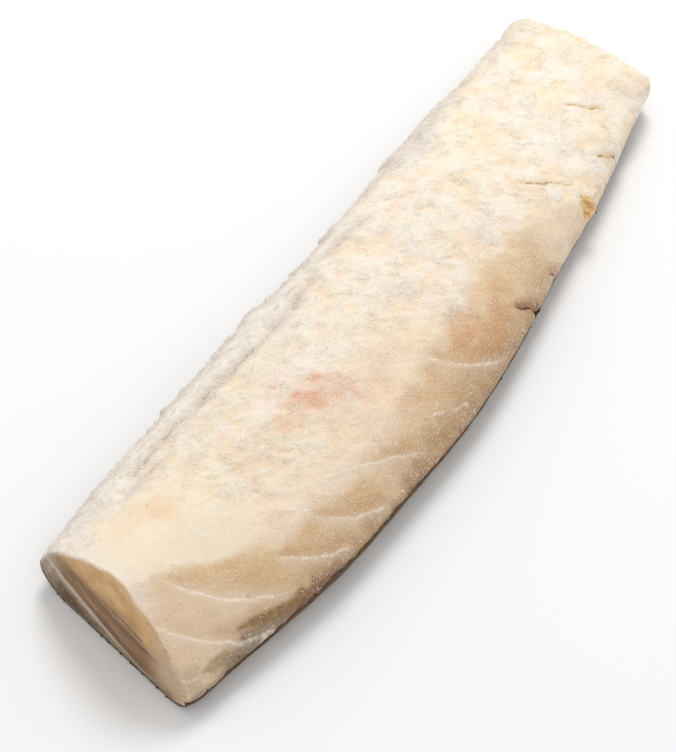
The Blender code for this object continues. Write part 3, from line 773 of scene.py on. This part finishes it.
# ---------------------------------------------------------------- materials
class Graph:
    """Short names for building a node material."""

    def __init__(self, name):
        self.material = bpy.data.materials.new(name)
        self.material.use_nodes = True
        self.tree = self.material.node_tree
        self.shader = self.tree.nodes["Principled BSDF"]
        self.place = self.add("ShaderNodeTexCoord").outputs["Object"]
        self.plan = None

    def add(self, kind):
        return self.tree.nodes.new(kind)

    def feed(self, socket, value):
        if isinstance(value, bpy.types.NodeSocket):
            self.tree.links.new(value, socket)
        else:
            socket.default_value = value

    def mask(self, name):
        node = self.add("ShaderNodeAttribute")
        node.attribute_type = "GEOMETRY"
        node.attribute_name = name
        return node.outputs["Fac"]

    def math(self, operation, first, second=0.0, third=0.0):
        node = self.add("ShaderNodeMath")
        node.operation = operation
        for socket, value in zip(node.inputs, (first, second, third)):
            self.feed(socket, value)
        return node.outputs[0]

    def ramp(self, value, low, high, bottom=0.0, top=1.0):
        node = self.add("ShaderNodeMapRange")
        node.interpolation_type = "SMOOTHSTEP"
        self.feed(node.inputs["Value"], value)
        for socket, number in (("From Min", low), ("From Max", high), ("To Min", bottom), ("To Max", top)):
            self.feed(node.inputs[socket], number)
        return node.outputs["Result"]

    def mix(self, factor, first, second, blend="MIX"):
        node = self.add("ShaderNodeMix")
        node.data_type = "RGBA"
        node.blend_type = blend
        self.feed(node.inputs["Factor"], factor)
        colours = [socket for socket in node.inputs if socket.type == "RGBA"]
        self.feed(colours[0], first)
        self.feed(colours[1], second)
        return [socket for socket in node.outputs if socket.type == "RGBA"][0]

    def noise(self, size_mm, detail=2.0, roughness=0.5, place=None, distortion=0.0):
        node = self.add("ShaderNodeTexNoise")
        self.feed(node.inputs["Vector"], self.place if place is None else place)
        node.inputs["Scale"].default_value = 1.0 / (size_mm * MM)
        node.inputs["Detail"].default_value = detail
        node.inputs["Roughness"].default_value = roughness
        node.inputs["Distortion"].default_value = distortion
        return node.outputs["Fac"]

    def grain(self, stretch):
        """Object coordinates with the fibre direction squeezed."""
        turn = self.add("ShaderNodeVectorRotate")
        turn.rotation_type = "Z_AXIS"
        self.feed(turn.inputs["Vector"], self.place)
        turn.inputs["Angle"].default_value = GRAIN_TURN
        scale = self.add("ShaderNodeVectorMath")
        scale.operation = "MULTIPLY"
        self.feed(scale.inputs[0], turn.outputs[0])
        scale.inputs[1].default_value = (1.0 / stretch, 1.0, 1.0)
        return scale.outputs[0]

    def vector(self, operation, first, second):
        node = self.add("ShaderNodeVectorMath")
        node.operation = operation
        self.feed(node.inputs[0], first)
        self.feed(node.inputs[1], second)
        return node

    def flat_place(self, wobble_mm, size_mm):
        """Object coordinates seen from above, in mm, with a little wander."""
        scaled = self.vector("MULTIPLY", self.place, (1 / MM, 1 / MM, 0.0)).outputs[0]
        wander = self.add("ShaderNodeTexNoise")
        self.feed(wander.inputs["Vector"], self.place)
        wander.inputs["Scale"].default_value = 1.0 / (size_mm * MM)
        wander.inputs["Detail"].default_value = 3.0
        centred = self.vector("SUBTRACT", wander.outputs["Color"], (0.5, 0.5, 0.5)).outputs[0]
        shift = self.vector("MULTIPLY", centred, (4 * wobble_mm, 4 * wobble_mm, 0.0)).outputs[0]
        return self.vector("ADD", scaled, shift).outputs[0]

    def reach_of(self, place, lines, end_fade=4.0):
        """How far a place lies outside the nearest drawn line, in mm, below zero inside it."""
        nearest = 99.0
        for start, middle, end, half in lines:
            (x, y), radius = circle_of(start, middle, end)
            reach = 0.5 * float(np.hypot(end[0] - start[0], end[1] - start[1]))
            away = self.vector("DISTANCE", place, (x, y, 0.0)).outputs["Value"]
            off = self.math("ABSOLUTE", self.math("SUBTRACT", away, radius))
            along = self.vector("DISTANCE", place, (*middle, 0.0)).outputs["Value"]
            past = self.math("MULTIPLY_ADD", along, end_fade / reach, -0.75 * end_fade)
            off = self.math("ADD", off, self.math("MAXIMUM", past, 0.0))
            nearest = self.math("MINIMUM", nearest, self.math("SUBTRACT", off, half))
        return nearest

    def bump(self, height, distance_mm, strength=1.0, normal=None):
        node = self.add("ShaderNodeBump")
        self.feed(node.inputs["Height"], height)
        node.inputs["Distance"].default_value = distance_mm * MM
        node.inputs["Strength"].default_value = strength
        if normal is not None:
            self.feed(node.inputs["Normal"], normal)
        return node.outputs["Normal"]

    def finish(self, colour, roughness, normal=None, **fixed):
        self.feed(self.shader.inputs["Base Color"], colour)
        self.feed(self.shader.inputs["Roughness"], roughness)
        if normal is not None:
            self.feed(self.shader.inputs["Normal"], normal)
        for name, value in fixed.items():
            self.shader.inputs[name.replace("_", " ")].default_value = value
        return self.material


def flesh_material():
    g = Graph("cod_flesh_look")
    slope, rough, glassy, cut = g.mask("slope"), g.mask("rough"), g.mask("glassy"), g.mask("cut")
    plan = g.flat_place(0.35, 5.0)
    broad = g.noise(17, 2)
    medium = g.noise(6, 3, 0.6)
    small = g.noise(2.2, 3, 0.6)
    fine = g.noise(0.9, 2, 0.6)
    sand = g.noise(0.5, 2, 0.7)
    grainy = g.mask("grainy")
    fibre = g.noise(0.65, 3, 0.65, g.grain(4.5))
    strand = g.noise(3.4, 4, 0.65, g.grain(1.8))

    # Cream flesh of the top, whiter where dry and yellower where dense. The relief's hollows are painted warmer and
    # darker and its crests whiter: partly the flesh's own colour, partly painted shade and light.
    colour = g.mix(g.ramp(broad, 0.35, 0.65), srgb(255, 242, 227), srgb(254, 237, 210))
    colour = g.mix(g.ramp(medium, 0.52, 0.75, 0, 0.4), colour, srgb(249, 227, 198))
    colour = g.mix(g.ramp(strand, 0.55, 0.75, 0, 0.6), colour, srgb(255, 243, 226))
    wisp = g.math("ABSOLUTE", g.math("SUBTRACT", g.noise(4.2, 4, 0.7, g.grain(1.7), 1.2), 0.5))
    wisp = g.math("MULTIPLY", g.ramp(wisp, 0.030, 0.004), g.ramp(medium, 0.42, 0.62))
    colour = g.mix(g.math("MULTIPLY", g.math("MULTIPLY", wisp, rough), 0.65), colour, srgb(255, 248, 235))
    dull = g.math("MULTIPLY", g.mask("dull"), g.ramp(strand, 0.35, 0.62, 1.0, 0.25))
    colour = g.mix(g.math("MULTIPLY", dull, 0.75), colour, srgb(233, 211, 184))
    pits = g.math("MULTIPLY", g.ramp(g.noise(1.2, 3, 0.7), 0.43, 0.30), rough)
    colour = g.mix(g.math("MULTIPLY", pits, 0.4), colour, srgb(246, 208, 169))
    ripple = g.mask("ripple")
    # Hollows warmer and darker, crests whiter: partly painted shade and light on the relief.
    colour = g.mix(g.ramp(ripple, 0.02, -0.30, 0, 0.42), colour, srgb(255, 220, 182))
    colour = g.mix(g.ramp(ripple, 0.04, 0.34, 0, 0.42), colour, srgb(255, 246, 232))
    colour = g.mix(g.math("MULTIPLY", glassy, 0.75), colour, srgb(250, 231, 201))

    apron = g.math("MULTIPLY", g.mask("apron"), g.ramp(strand, 0.3, 0.65, 0.85, 0.4))
    colour = g.mix(apron, colour, srgb(255, 226, 193))
    peach = g.math("MULTIPLY", g.mask("peach"), g.ramp(medium, 0.3, 0.6, 0.6, 1.0))
    colour = g.mix(g.math("MULTIPLY", peach, 0.75), colour, srgb(245, 208, 168))

    # Glassy tan flakes of the back.
    tan = g.mix(g.ramp(g.noise(12, 2, 0.5, g.grain(1.8)), 0.35, 0.65), srgb(241, 213, 175), srgb(226, 190, 146))
    flake_step_shade = g.mask("flake_step_shade")
    # Painted shade just past each flake edge and painted light just before it.
    tan = g.mix(g.ramp(flake_step_shade, 0.0, 1.0, 0, 0.8), tan, srgb(211, 169, 120))
    tan = g.mix(g.ramp(flake_step_shade, 0.0, -0.6, 0, 0.65), tan, srgb(239, 217, 188))
    tan = g.mix(g.ramp(fibre, 0.50, 0.70, 0, 0.35), tan, srgb(243, 222, 194))
    tan = g.mix(g.ramp(fibre, 0.46, 0.30, 0, 0.35), tan, srgb(190, 152, 110))
    rust = g.math("MULTIPLY", g.mask("rust"), g.ramp(medium, 0.25, 0.6, 0.5, 1.0))
    tan = g.mix(g.math("MULTIPLY", rust, 0.8), tan, srgb(212, 153, 106))
    tan = g.mix(g.math("MULTIPLY", g.mask("beige"), 0.65), tan, srgb(238, 213, 184))
    colour = g.mix(slope, colour, tan)
    colour = g.mix(g.math("MULTIPLY", g.mask("rust"), g.ramp(slope, 0.8, 0.2, 0, 0.35)), colour, srgb(228, 188, 150))

    rose = g.math("MULTIPLY", g.mask("rose"), g.ramp(medium, 0.66, 0.34, 0.5, 1.0))
    colour = g.mix(g.math("MULTIPLY", rose, 0.78), colour, srgb(231, 167, 131))

    # Dry whitish side beyond the furrow, and painted shade in the furrow: a soft grey band and a dark broken line.
    lilac = g.mask("lilac")
    lengthwise = g.vector("MULTIPLY", g.place, (0.28, 1.0, 1.0)).outputs[0]
    streak = g.noise(2.6, 3, 0.6, lengthwise)
    pale = g.mix(g.ramp(streak, 0.50, 0.66), srgb(250, 243, 236), srgb(216, 206, 200))
    pale = g.mix(g.ramp(medium, 0.35, 0.6), pale, srgb(246, 238, 226))
    colour = g.mix(g.math("MULTIPLY", lilac, 0.75), colour, pale)
    wander = g.flat_place(1.0, 7.0)
    furrow = g.reach_of(wander, FURROWS)
    broken = g.math("MULTIPLY", g.ramp(small, 0.36, 0.56, 0.3, 1.0), g.ramp(g.noise(8, 2), 0.44, 0.58, 0.1, 1.0))
    colour = g.mix(g.math("MULTIPLY", g.ramp(furrow, 4.0, 0.0), 0.6), colour, srgb(218, 202, 188))
    speckled = g.math("MULTIPLY", broken, g.ramp(fine, 0.40, 0.56, 0.25, 1.0))
    colour = g.mix(g.math("MULTIPLY", g.math("MULTIPLY", g.ramp(furrow, 0.6, -0.4), speckled), 0.75), colour, srgb(164, 136, 118))
    film = g.math("MULTIPLY", g.mask("film"), g.ramp(small, 0.25, 0.6, 0.55, 1.0))
    colour = g.mix(g.math("MULTIPLY", film, 0.7), colour, srgb(241, 230, 216))

    # Painted shade: the other side greyer and duller towards its lower rim.
    grey_band = g.math("MULTIPLY", g.mask("other_rim"), g.ramp(small, 0.3, 0.6, 0.35, 0.75))
    colour = g.mix(grey_band, colour, srgb(212, 202, 193))

    # The flank towards the skin: tan painted darker towards the bottom and darkest along the rim as shade, olive
    # strips, and grey and reddish stretches.
    # Painted shade: darker tan lower on the flank.
    colour = g.mix(g.math("MULTIPLY", g.mask("low_flank_shade"), 0.6), colour, srgb(184, 141, 92))
    shade = g.math("MULTIPLY", g.mask("shade"), g.ramp(strand, 0.3, 0.65, 0.35, 0.75))
    colour = g.mix(shade, colour, srgb(166, 126, 84))
    patchy = g.ramp(small, 0.3, 0.6, 0.75, 1.0)
    speckle = g.mix(g.ramp(fine, 0.40, 0.60), srgb(102, 76, 52), srgb(140, 111, 80))
    colour = g.mix(g.math("MULTIPLY", g.math("MULTIPLY", g.mask("grey"), patchy), 0.9), colour, speckle)
    reddish = g.mix(g.ramp(g.noise(1.0, 3, 0.6, g.grain(4.0)), 0.4, 0.62), srgb(106, 69, 38), srgb(158, 116, 78))
    colour = g.mix(g.math("MULTIPLY", g.math("MULTIPLY", g.mask("brown"), patchy), 0.9), colour, reddish)
    fringe = g.ramp(fine, 0.3, 0.7, -0.25, 0.25)
    pale_strip = g.ramp(g.math("ADD", g.mask("pale_strip"), fringe), -0.5, 1.2, 0, 0.75)
    colour = g.mix(pale_strip, colour, srgb(176, 146, 106))
    strip = g.ramp(g.math("ADD", g.mask("strip"), fringe), -0.9, 1.1, 0, 0.88)
    colour = g.mix(strip, colour, g.mix(g.ramp(small, 0.35, 0.65), srgb(136, 98, 48), srgb(162, 123, 68)))
    # Painted shade along the bottom rim of the flank.
    rim_shade = g.math("MULTIPLY", g.mask("edge"), g.ramp(fine, 0.3, 0.6, 0.7, 0.95))
    colour = g.mix(rim_shade, colour, g.mix(g.ramp(small, 0.4, 0.6), srgb(86, 56, 30), srgb(126, 92, 58)))

    # Sandy salt film all over, white flecks on the dry parts.
    colour = g.mix(g.math("MULTIPLY", g.ramp(sand, 0.52, 0.72, 0, 0.55), grainy), colour, srgb(255, 249, 238))
    colour = g.mix(g.math("MULTIPLY", g.ramp(sand, 0.48, 0.28, 0, 0.5), grainy), colour, srgb(208, 193, 176), "MULTIPLY")
    fleck = g.math("MULTIPLY", g.ramp(g.noise(1.7, 3, 0.7, g.grain(1.8)), 0.60, 0.68), g.ramp(medium, 0.40, 0.60))
    colour = g.mix(g.math("MULTIPLY", g.math("MULTIPLY", fleck, rough), 0.6), colour, srgb(255, 247, 234))

    # Pale sheets on the flake edges.
    fray = g.ramp(fine, 0.3, 0.7, -0.22, 0.22)
    flake = g.reach_of(plan, FLAKES)
    sheet = g.math("ADD", g.math("MINIMUM", flake, g.reach_of(plan, SHEETS)), fray)
    on_seam = g.math("MULTIPLY", g.ramp(sheet, 0.30, -0.20), g.ramp(small, 0.32, 0.6, 0.15, 1.0))
    colour = g.mix(g.ramp(flake, 2.2, 0.0, 0, 0.25), colour, srgb(240, 224, 204))
    colour = g.mix(g.math("MULTIPLY", on_seam, g.ramp(glassy, 0, 1, 0.68, 0.95)), colour, srgb(250, 238, 222))

    crack = g.math("ADD", g.reach_of(plan, CRACKS), fray)
    colour = g.mix(g.ramp(crack, 1.8, 0.0, 0, 0.4), colour, srgb(232, 206, 152))
    split = g.math("MULTIPLY", g.ramp(crack, 0.3, -0.1), g.ramp(small, 0.36, 0.52, 0.1, 0.8))
    colour = g.mix(split, colour, srgb(186, 144, 86))
    dark = g.math("ADD", g.reach_of(plan, DARK_CRACKS), fray)
    colour = g.mix(g.ramp(dark, 2.2, 0.0, 0, 0.5), colour, srgb(182, 136, 96))
    colour = g.mix(g.ramp(dark, 0.25, -0.15, 0, 0.9), colour, srgb(92, 52, 32))

    # The cut: grey under-layer, a pale sheet, brown flesh with fine lines, and an amber band under the crown.
    face_y, face_z = g.mask("face_y"), g.mask("face_z")
    face_place = g.add("ShaderNodeCombineXYZ")
    g.feed(face_place.inputs[0], face_y)
    g.feed(face_place.inputs[1], face_z)
    face_place = face_place.outputs[0]
    along_sheet = g.math("MAXIMUM", g.math("ADD", face_y, 2.0), 0.0)
    sheet_z = g.math("ADD", 2.4, g.math("MULTIPLY", g.math("POWER", along_sheet, 1.5), 0.046))
    from_sheet = g.math("SUBTRACT", face_z, sheet_z)
    layered = g.add("ShaderNodeCombineXYZ")
    g.feed(layered.inputs[0], g.math("MULTIPLY", g.math("ADD", from_sheet, g.math("MULTIPLY", face_y, 0.05)), MM))
    g.feed(layered.inputs[1], g.math("MULTIPLY", face_y, 0.09 * MM))
    lines = g.noise(0.75, 2, 0.55, layered.outputs[0])
    bands = g.noise(4.5, 2, 0.45, layered.outputs[0])
    droop = g.math("MULTIPLY", g.math("MINIMUM", face_y, 0.0), 0.85)
    amber_z = g.math("ADD", 20.0, droop)
    into_amber = g.math("ADD", g.math("SUBTRACT", face_z, amber_z), g.ramp(bands, 0.3, 0.7, -1.6, 1.6))
    face = g.mix(g.ramp(bands, 0.34, 0.64), srgb(130, 99, 75), srgb(155, 119, 87))
    face = g.mix(g.ramp(from_sheet, 0.5, 5.0, 0.4, 0.0), face, srgb(116, 90, 70))
    face = g.mix(g.ramp(lines, 0.58, 0.74, 0, 0.22), face, srgb(174, 142, 114))
    amber = g.mix(g.ramp(g.noise(7, 2), 0.35, 0.65), srgb(222, 182, 130), srgb(206, 162, 110))
    amber = g.mix(g.ramp(lines, 0.56, 0.72, 0, 0.10), amber, srgb(232, 200, 158))
    face = g.mix(g.ramp(into_amber, -5.0, 5.0), face, amber)
    face = g.mix(g.ramp(face_y, -3.0, -14.0, 0, 0.85), face, g.mix(g.ramp(lines, 0.4, 0.65), srgb(192, 165, 135), srgb(212, 189, 161)))
    under = g.mix(g.ramp(small, 0.35, 0.6), srgb(136, 111, 86), srgb(160, 139, 114))
    # Painted shade: the grey under-layer darker towards the bottom of the cut.
    under = g.mix(g.ramp(from_sheet, -1.5, -6.5, 0, 0.8), under, srgb(88, 65, 44))
    face = g.mix(g.ramp(from_sheet, 0.5, -0.4), face, under)
    thick = g.ramp(face_y, 0.0, 26.0, 0.4, 1.5)
    on_sheet = g.ramp(g.math("SUBTRACT", g.math("ABSOLUTE", from_sheet), thick), 0.35, -0.35)
    on_sheet = g.math("MULTIPLY", on_sheet, g.ramp(face_y, -8.0, 12.0, 0.2, 1.0))
    face = g.mix(g.math("MULTIPLY", on_sheet, g.ramp(fine, 0.3, 0.6, 0.5, 0.85)), face, srgb(206, 190, 170))
    face = g.mix(g.ramp(g.reach_of(face_place, FACE_THREADS), 0.25, -0.1, 0, 0.38), face, srgb(224, 200, 172))
    grey_band = g.math("MULTIPLY", g.ramp(face_y, 31.0, 41.0), g.ramp(small, 0.3, 0.6, 0.35, 0.85))
    face = g.mix(g.math("MULTIPLY", grey_band, g.ramp(face_z, 3.0, 12.0, 0.5, 1.0)), face, srgb(194, 178, 158))
    face = g.mix(g.math("MULTIPLY", g.ramp(sand, 0.60, 0.70, 0, 0.5), g.ramp(from_sheet, 3.0, -1.0)), face, srgb(222, 206, 186))
    to_cut = g.math("ADD", cut, g.ramp(small, 0.3, 0.7, -0.08, 0.08))
    colour = g.mix(g.ramp(to_cut, 0.10, 0.95), colour, face)

    uneven = g.math("ADD", fine, g.math("MULTIPLY", small, 0.55))
    height = g.math("MULTIPLY", uneven, g.math("ADD", g.math("MULTIPLY", rough, 0.8), 0.2))
    height = g.math("ADD", height, g.math("MULTIPLY", fibre, 0.35))
    height = g.math("ADD", height, g.math("MULTIPLY", on_seam, 0.3))
    height = g.math("ADD", height, g.math("MULTIPLY", g.math("MULTIPLY", g.math("ADD", wisp, fleck), rough), 0.35))
    height = g.math("ADD", height, g.math("MULTIPLY", sand, grainy))
    normal = g.bump(height, 0.36, 0.9)
    gloss = g.ramp(slope, 0, 1, 0.68, 0.50)
    gloss = g.math("ADD", gloss, g.ramp(small, 0.3, 0.7, -0.08, 0.08))
    return g.finish(colour, gloss, normal, Subsurface_Weight=0.13, Subsurface_Scale=0.0028,
                    Subsurface_Radius=(1.0, 0.7, 0.5), Specular_IOR_Level=0.32)


def skin_material():
    g = Graph("cod_skin_look")
    blotch = g.noise(9, 3, 0.6)
    speck = g.noise(1.8, 3, 0.65)
    scale = g.add("ShaderNodeTexVoronoi")
    g.feed(scale.inputs["Vector"], g.place)
    scale.inputs["Scale"].default_value = 1.0 / (1.5 * MM)
    colour = g.mix(g.ramp(blotch, 0.4, 0.6), srgb(112, 96, 76), srgb(148, 132, 106))
    colour = g.mix(g.ramp(speck, 0.5, 0.62, 0, 0.75), colour, srgb(76, 60, 46))
    colour = g.mix(g.ramp(g.noise(5, 4, 0.7), 0.52, 0.7, 0, 0.6), colour, srgb(196, 188, 174))
    rim = g.mask("from_rim")
    edge = g.mix(g.ramp(speck, 0.35, 0.62), srgb(66, 42, 22), srgb(108, 77, 46))
    colour = g.mix(g.ramp(rim, 7.0, 2.0), colour, edge)
    colour = g.mix(g.math("MULTIPLY", g.mask("inside"), 0.5), colour, srgb(150, 128, 100))
    normal = g.bump(g.math("ADD", scale.outputs["Distance"], speck), 0.12, 0.6)
    return g.finish(colour, g.ramp(speck, 0.3, 0.7, 0.42, 0.62), normal, Subsurface_Weight=0.05,
                    Subsurface_Scale=0.002, Specular_IOR_Level=0.25)


def grain_material(name, low, high, gloss, glow):
    g = Graph(name)
    colour = g.mix(g.ramp(g.noise(2.5, 2), 0.35, 0.65), low, high)
    return g.finish(colour, g.ramp(g.noise(1.2, 1), 0.3, 0.7, gloss, gloss + 0.15), None,
                    Subsurface_Weight=0.0, Specular_IOR_Level=glow)


flesh_obj.data.materials.append(flesh_material())
skin_obj.data.materials.append(skin_material())
salt_obj.data.materials.append(grain_material("salt_look", srgb(238, 220, 198), srgb(253, 243, 230), 0.3, 0.4))
frost_obj.data.materials.append(grain_material("frost_look", srgb(250, 238, 220), srgb(255, 249, 238), 0.45, 0.35))
crumb_obj.data.materials.append(grain_material("crumb_look", srgb(246, 232, 212), srgb(254, 247, 236), 0.5, 0.4))
shred_obj.data.materials.append(grain_material("shred_look", srgb(248, 236, 218), srgb(254, 248, 238), 0.55, 0.3))

skin_shred_obj.data.materials.append(grain_material("skin_shred_look", srgb(70, 46, 28), srgb(110, 82, 56), 0.5, 0.3))
scrap_obj.data.materials.append(grain_material("scrap_look", srgb(220, 164, 94), srgb(250, 220, 162), 0.35, 0.4))
speck_obj.data.materials.append(grain_material("speck_look", srgb(96, 72, 52), srgb(150, 122, 96), 0.5, 0.3))

flesh_pieces = (flesh_obj, salt_obj, frost_obj, crumb_obj, shred_obj, scrap_obj, speck_obj)
skin_pieces = (skin_obj, skin_shred_obj)
for piece in flesh_pieces + skin_pieces:
    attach(piece, "root")
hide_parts("flesh")
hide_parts("skin")


# ---------------------------------------------------------------- studio
floor_mesh = bpy.data.meshes.new("floor")
REACH = 3.0
floor_mesh.from_pydata([(-REACH, -REACH, -0.0003), (REACH, -REACH, -0.0003), (REACH, REACH, -0.0003), (-REACH, REACH, -0.0003)],
                       [], [(0, 1, 2, 3)])
floor = bpy.data.objects.new("floor", floor_mesh)
bpy.context.scene.collection.objects.link(floor)
paper = Graph("floor_paper")
floor_mesh.materials.append(paper.finish(paper.mix(paper.noise(400), srgb(250, 250, 250), srgb(252, 252, 252)), 0.9,
                                         None, Specular_IOR_Level=0.1))

world = bpy.data.worlds.new("studio")
world.use_nodes = True
world.node_tree.nodes["Background"].inputs["Color"].default_value = (1.0, 1.0, 1.0, 1.0)
world.node_tree.nodes["Background"].inputs["Strength"].default_value = 0.69
bpy.context.scene.world = world


def area_light(name, place, target, size, watts, colour=(1, 1, 1)):
    light = bpy.data.lights.new(name, "AREA")
    light.shape = "DISK"
    light.size = size
    light.energy = watts
    light.color = colour
    obj = bpy.data.objects.new(name, light)
    obj.location = place
    obj.rotation_euler = (Vector(target) - Vector(place)).to_track_quat("-Z", "Y").to_euler()
    bpy.context.scene.collection.objects.link(obj)


area_light("key", (0.75, 0.35, 1.25), (0, 0, 0), 0.6, 9.4)

TARGET = Vector((-28.95, -1.08, 18.88)) * MM
AWAY, LIFT, TURN = 0.85, radians(52), radians(58.3)
camera_data = bpy.data.cameras.new("camera")
camera_data.lens = 133.1 / 1.049
camera = bpy.data.objects.new("camera", camera_data)
forward = Vector((sin(TURN) * cos(LIFT), cos(TURN) * cos(LIFT), -sin(LIFT)))
camera.location = TARGET - forward * AWAY
camera.rotation_euler = forward.to_track_quat("-Z", "Y").to_euler()
bpy.context.scene.collection.objects.link(camera)
bpy.context.scene.camera = camera
bpy.context.scene.view_settings.view_transform = "Standard"
